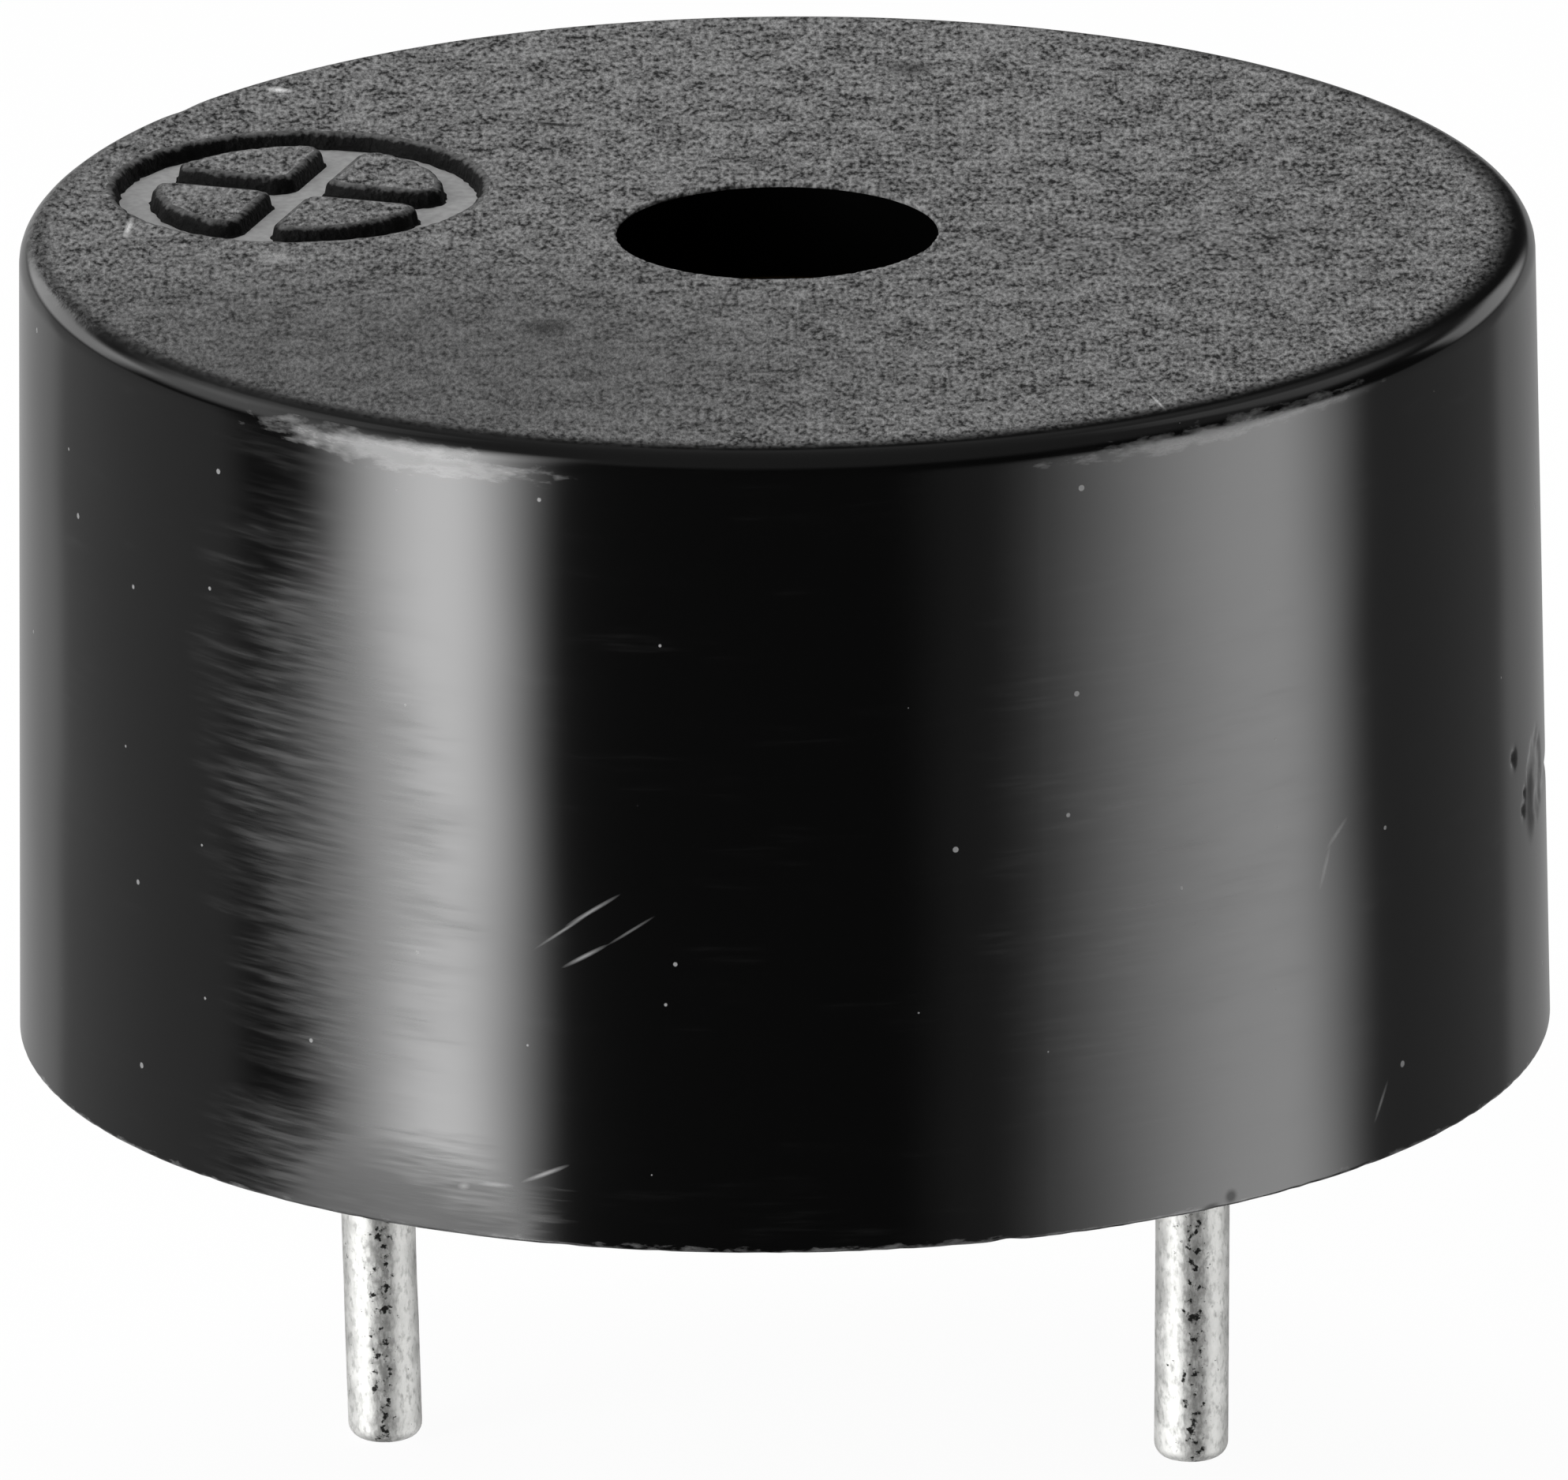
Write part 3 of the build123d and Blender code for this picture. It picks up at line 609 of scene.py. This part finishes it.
# Tin solder, reflowed: bright, soft, with frozen crystals and a trace of amber flux.
reflowed_solder, tree, place = surface("reflowed_tin_solder")
crystals = put(tree, "TexVoronoi", {"Vector": place, "Scale": 1 / 0.12}).outputs["Distance"]
flux = put(tree, "TexNoise", {"Vector": place, "Scale": 1 / 0.5, "Detail": 3.0})
colour = put(tree, "Mix", {0: flux, 6: "#d6d7d6", 7: "#b9b3a4"}, data_type="RGBA")
gloss = put(tree, "MapRange", {0: crystals, 1: 0.0, 2: 1.0, 3: 0.22, 4: 0.4})
shade(tree, {"Base Color": colour, "Metallic": 1.0, "Roughness": gloss}, crystals, 0.006)
dress(reflowed_solder, "load_resistor_caps", "bias_resistor_caps", "feedback_resistor_caps")
dress(reflowed_solder, "component_solder", "pin_solder", "disc_solder", "board_solder")

# Lead wires
# Three soft wires carry the disc's two electrodes and its brass down to the board. Each is a
# bundle of strands in an extruded vinyl sleeve.

# Vinyl sleeve, extruded: soft red-brown shine with draw lines along the wire.
vinyl_sleeve, tree, place = surface("extruded_vinyl_sleeve")
# draw lines 0.04 mm apart
lines = put(tree, "VectorMath", {0: place, 1: (1 / 0.04, 1 / 0.04, 1 / 2)}, operation="MULTIPLY")
lines = put(tree, "TexNoise", {"Vector": lines, "Scale": 1.0, "Detail": 2.0})
colour = put(tree, "Mix", {0: lines, 6: "#8e1f1c", 7: "#a52824"}, data_type="RGBA")
shade(tree, {"Base Color": colour, "Roughness": 0.42, "IOR": 1.53}, lines, 0.003)
dress(vinyl_sleeve, "drive_wire", "feedback_wire", "ground_wire")

# Pins
# Two round copper-clad wires, dipped in tin, that stand out of the resin. The free ends were cut
# before the dip, so the tin rounds them, and both pins lean inwards by a degree or so.
wire_radius, coat_radius, tip_radius, end_radius = 0.325, 0.335, 0.14, 0.02
resin_face, board_face, pin_top, pin_place = 0.4, 1.3, 2.735, 3.8
pin_row, pin_sides, lump_height = 0.05, 56, 0.008
splay_foot, lean_start = 0.3, 0.1

# Tin, hot dipped: almost white, with fine frozen grains and a few dark pits. Down the side that
# faces the camera a darker stripe and more dark pits are painted: painted reflection of the dark
# room in front.
dipped_tin, tree, place = surface("hot_dipped_tin")
# frozen grains 0.05 mm across, drawn out along the pin
grains = {0: place, 1: (1 / 0.05, 1 / 0.05, 1 / 0.09)}
grains = put(tree, "VectorMath", grains, operation="MULTIPLY")
grains = put(tree, "TexNoise", {"Vector": grains, "Scale": 1.0, "Detail": 3.0, "Roughness": 0.6})
clouds = put(tree, "TexNoise", {"Vector": place, "Scale": 1 / 0.25, "Detail": 3.0})
# bearing round the pin's own axis, from the side that faces the camera, where the dark reflection
# is painted
camera_side_bearing, dark_reflection_half_turn = math.radians(75), math.radians(30)
split = put(tree, "SeparateXYZ", {0: place})
side = put(tree, "Math", {0: split.outputs[0]}, operation="SIGN")
across = {0: side, 1: -pin_place - 0.03, 2: split.outputs[0]}
across = put(tree, "Math", across, operation="MULTIPLY_ADD")
bearing = put(tree, "Math", {0: split.outputs[1], 1: across}, operation="ARCTAN2")
bearing = put(tree, "Math", {0: bearing, 1: camera_side_bearing}, operation="ADD")
bearing = put(tree, "Math", {0: bearing}, operation="ABSOLUTE")
dark_reflection_side = {0: bearing, 1: dark_reflection_half_turn, 2: dark_reflection_half_turn / 5}
dark_reflection_side = put(tree, "MapRange", dark_reflection_side, interpolation_type="SMOOTHSTEP")
pits_and_dark_reflection = put(tree, "TexNoise", {"Vector": place, "Scale": 1 / 0.07, "Detail": 3.0, "Roughness": 0.6})
# pits, gathered on the camera's side: partly real pits, partly painted reflection
pits_and_dark_reflection = put(tree, "Math", {0: dark_reflection_side, 1: 0.13, 2: pits_and_dark_reflection}, operation="MULTIPLY_ADD")
pits_and_dark_reflection = put(tree, "MapRange", {0: pits_and_dark_reflection, 1: 0.67, 2: 0.75})
cloudy = put(tree, "MapRange", {0: clouds, 1: 0.35, 2: 0.65})
flecks = put(tree, "MapRange", {0: grains, 1: 0.5, 2: 0.85})
# a darker stripe on the camera's side: painted reflection
dark_reflection_stripe = put(tree, "MapRange", {0: grains, 1: 0.35, 2: 0.6, 3: 0.45, 4: 1.0})
dark_reflection_stripe = put(tree, "Math", {0: dark_reflection_side, 1: dark_reflection_stripe}, operation="MULTIPLY")
colour = put(tree, "Mix", {0: cloudy, 6: "#bcbcba", 7: "#dadad8"}, data_type="RGBA")
colour = put(tree, "Mix", {0: flecks, 6: colour, 7: "#868684"}, data_type="RGBA")
colour = put(tree, "Mix", {0: dark_reflection_stripe, 6: colour, 7: "#8a8a88"}, data_type="RGBA")
colour = put(tree, "Mix", {0: pits_and_dark_reflection, 6: colour, 7: "#262625"}, data_type="RGBA")
gloss = put(tree, "MapRange", {0: clouds, 1: 0.3, 2: 0.7, 3: 0.6, 4: 0.72})
shade(tree, {"Base Color": colour, "Metallic": 1.0, "Roughness": gloss}, grains, 0.006)

# names, then each pin's place, length below the case, lean in degrees and splay at the resin
for name, node, x, length, lean, splay in (
    ("dipped_positive_pin", "positive_pin", -pin_place, 4.29, 1.2, -0.107),
    ("dipped_negative_pin", "negative_pin", pin_place, 3.84, -0.8, 0.035),
):
    pin_line = rounded(
        (
            (end_radius, -length, 0),
            (coat_radius, -length, tip_radius),
            (coat_radius, resin_face, 0),
            (wire_radius, resin_face, 0),
            (wire_radius, pin_top, 0),
            (end_radius, pin_top, 0),
        )
    )
    pin_mesh = bmesh.new()
    pin_rings = []
    for here, ahead in zip(pin_line, pin_line[1:] + pin_line[-1:]):
        pieces = max(int((here - ahead).length / pin_row), 1)
        for part in range(pieces):
            r, z = here.lerp(ahead, part / pieces)
            # straight in the board, splayed where the resin lets it go, then leaning inwards
            free = min(max((board_face - z) / (board_face - resin_face + splay_foot), 0), 1)
            shift = splay * free * free * (3 - 2 * free)
            shift += math.tan(math.radians(lean)) * max(lean_start - z, 0)
            turned = []
            for k in range(pin_sides):
                out = direction(2 * math.pi * k / pin_sides)
                lump = max(noise.noise(Vector((*out * 1.6, z * 1.5 + x))), 0)
                dipped = r - lump_height * lump if z < resin_face else r
                turned.append((x + shift + dipped * out.x, dipped * out.y, z))
            pin_rings.append(ring(pin_mesh, turned))
    skin(pin_mesh, pin_rings, 0)
    for end in (pin_rings[0], pin_rings[-1]):
        pin_mesh.faces.new(end).smooth = True
    pin = piece(name, pin_mesh, (dipped_tin,))
    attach(pin, "root")
    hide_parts(node)
dress(dipped_tin, "transistor_leads")

# Potting resin
# Two-part black epoxy, poured over the underside of the board and left to level. It creeps up the
# wall and the pins and sets with a wavy, glossy skin.
poured_epoxy, tree, place = surface("poured_black_epoxy")
waves = put(tree, "TexNoise", {"Vector": place, "Scale": 1 / 3.0, "Detail": 2.0})
bubbles = put(tree, "TexVoronoi", {"Vector": place, "Scale": 1 / 0.8}).outputs["Distance"]
bubbles = put(tree, "MapRange", {0: bubbles, 1: 0.08, 2: 0.14}, interpolation_type="SMOOTHSTEP")
haze = put(tree, "TexNoise", {"Vector": place, "Scale": 1 / 0.5, "Detail": 5.0})
gloss = put(tree, "MapRange", {0: haze, 1: 0.35, 2: 0.7, 3: 0.1, 4: 0.24})
relief = put(tree, "Math", {0: bubbles, 1: 0.15, 2: waves}, operation="MULTIPLY_ADD")
colour = put(tree, "Mix", {0: haze, 6: "#0c0c0d", 7: "#161617"}, data_type="RGBA")
shade(tree, {"Base Color": colour, "Roughness": gloss, "IOR": 1.55}, relief, 0.12)
dress(poured_epoxy, "resin_potting")

# Studio
# The part stands on a plain pale floor in soft light: a panel above and behind it for its top, and
# all round it, far off, bright and dim panels that its glossy wall mirrors.
view_azimuth, view_elevation, view_roll = (math.radians(a) for a in (16.6, 17.579, -0.584))
toward = Vector((math.sin(view_azimuth), -math.cos(view_azimuth), 0))
right = Vector((math.cos(view_azimuth), math.sin(view_azimuth), 0))

# Painted board: plain, pale, bright enough to print as white, with the part's faint shadow.
painted_board, tree, place = surface("painted_pale_board")
mottle = put(tree, "TexNoise", {"Vector": place, "Scale": 1 / 2.0, "Detail": 2.0})
mottle = put(tree, "Mix", {0: mottle, 6: "#f4f4f4", 7: "#f8f8f8"}, data_type="RGBA")
paint = put(tree, "BsdfDiffuse", {"Color": mottle})
glow = put(tree, "Emission", {"Strength": 1.0})
seen = put(tree, "LightPath").outputs["Is Camera Ray"]
seen = put(tree, "Math", {0: seen, 1: 0.96}, operation="MULTIPLY")
put(tree, "OutputMaterial", {"Surface": put(tree, "MixShader", {0: seen, 1: paint, 2: glow})})
floor_height = -4.292  # just under the longer pin
floor_mesh = bmesh.new()
floor_rings = []
for radius in (0.5, 20, 60, 150, 400):
    floor_rings.append(ring(floor_mesh, [(*d * radius, floor_height) for d in circle[::2]]))
skin(floor_mesh, floor_rings, 0)
floor_mesh.faces.new(floor_rings[0])
board = piece("pale_floor", floor_mesh, (painted_board,))
board.visible_glossy = False
board.visible_shadow = False

panel_width, panel_power, panel_height, panel_back = 45 * mm, 0.0205, 41 * mm, 28.7 * mm
lamp = bpy.data.lights.new("top_panel", "AREA")
lamp.shape = "DISK"
lamp.size = panel_width
lamp.energy = panel_power
panel = bpy.data.objects.new("top_panel", lamp)
bpy.context.scene.collection.objects.link(panel)
offset = Vector((0, 0, panel_height)) - toward * panel_back
panel.location = Vector((0, 0, case_height * mm)) + offset
panel.rotation_euler = offset.to_track_quat("Z", "Y").to_euler()
panel.visible_glossy = False
panel.visible_camera = False

world = bpy.data.worlds.new("soft_studio")
bpy.context.scene.world = world
world.use_nodes = True
tree = world.node_tree
tree.nodes.clear()
ray = put(tree, "TexCoord").outputs["Generated"]
ahead = put(tree, "VectorMath", {0: ray, 1: toward}, operation="DOT_PRODUCT")
beside = put(tree, "VectorMath", {0: ray, 1: right}, operation="DOT_PRODUCT")
swing = put(tree, "Math", {0: beside, 1: ahead}, operation="ARCTAN2")
swing = put(tree, "Math", {0: swing}, operation="DEGREES")
lift = put(tree, "SeparateXYZ", {0: ray}).outputs[2]
lift = put(tree, "Math", {0: lift}, operation="ARCSINE")
lift = put(tree, "Math", {0: lift}, operation="DEGREES")
turned = put(tree, "Math", {0: swing}, operation="ABSOLUTE")
# each panel's brightness, then its soft edges: where it is dark and where it is full, in degrees
# of swing from the camera's side or of lift from the horizon
dark_room = 0.022
total = dark_room
for strength, *edges in (
    (10, (swing, -78, -53), (swing, -33, -52), (lift, 54, 14), (lift, -62, -38)),
    (4.2, (swing, 30, 75), (swing, 102, 80), (lift, 10, -6), (lift, -62, -38)),
    (0.14, (swing, 16, 29), (swing, 60, 42), (lift, 10, -6)),
    (0.165, (turned, 85, 95), (lift, 5, -2)),
    (0.1, (swing, -85, -95), (lift, 5, -2)),
    (0.18, (turned, 138, 145), (lift, 5, -2)),
    (1.4, (swing, -166, -154), (swing, -110, -124), (lift, 1, 8), (lift, 28, 20)),
    (1.0, (swing, -138, -116), (swing, -58, -78), (lift, 6, 24), (lift, 64, 30)),
    (1.1, (swing, 118, 126), (swing, 160, 150), (lift, 1, 8), (lift, 28, 20)),
    (0.38, (turned, 95, 112), (turned, 152, 138), (lift, 32, 42), (lift, 68, 57)),
    (0.16, (lift, 25, 45)),
):
    level = strength
    for follows, dark, full in edges:
        share = {0: follows, 1: dark, 2: full}
        share = put(tree, "MapRange", share, interpolation_type="SMOOTHSTEP")
        level = put(tree, "Math", {0: share, 1: level}, operation="MULTIPLY")
    total = put(tree, "Math", {0: level, 1: total}, operation="ADD")
seen = put(tree, "LightPath").outputs["Is Camera Ray"]
light = put(tree, "Background", {"Strength": total, "Color": (1, 1, 1, 1)})
backdrop = put(tree, "Background", {"Strength": 1.0, "Color": (1, 1, 1, 1)})
put(tree, "OutputWorld", {0: put(tree, "MixShader", {0: seen, 1: light, 2: backdrop})})

# a long lens far off, looking at a point a little above the part's middle
view_distance, view_height, view_side = 0.552, 2.62, 0.0161
sensor_width, focal_length = 36, 1407.1
back = toward * math.cos(view_elevation) + Vector((0, 0, math.sin(view_elevation)))
above = back.cross(right)
level_axis = right * math.cos(view_roll) + above * math.sin(view_roll)
upright = above * math.cos(view_roll) - right * math.sin(view_roll)
target = (right * view_side + Vector((0, 0, view_height))) * mm
lens = bpy.data.cameras.new("long_lens")
lens.sensor_width = sensor_width
lens.lens = focal_length
lens.clip_start, lens.clip_end = 0.01, 10
camera = bpy.data.objects.new("camera", lens)
bpy.context.scene.collection.objects.link(camera)
pose = Matrix((level_axis, upright, back)).transposed().to_4x4()
camera.matrix_world = Matrix.Translation(target + back * view_distance) @ pose
bpy.context.scene.camera = camera
bpy.context.scene.view_settings.view_transform = "Standard"
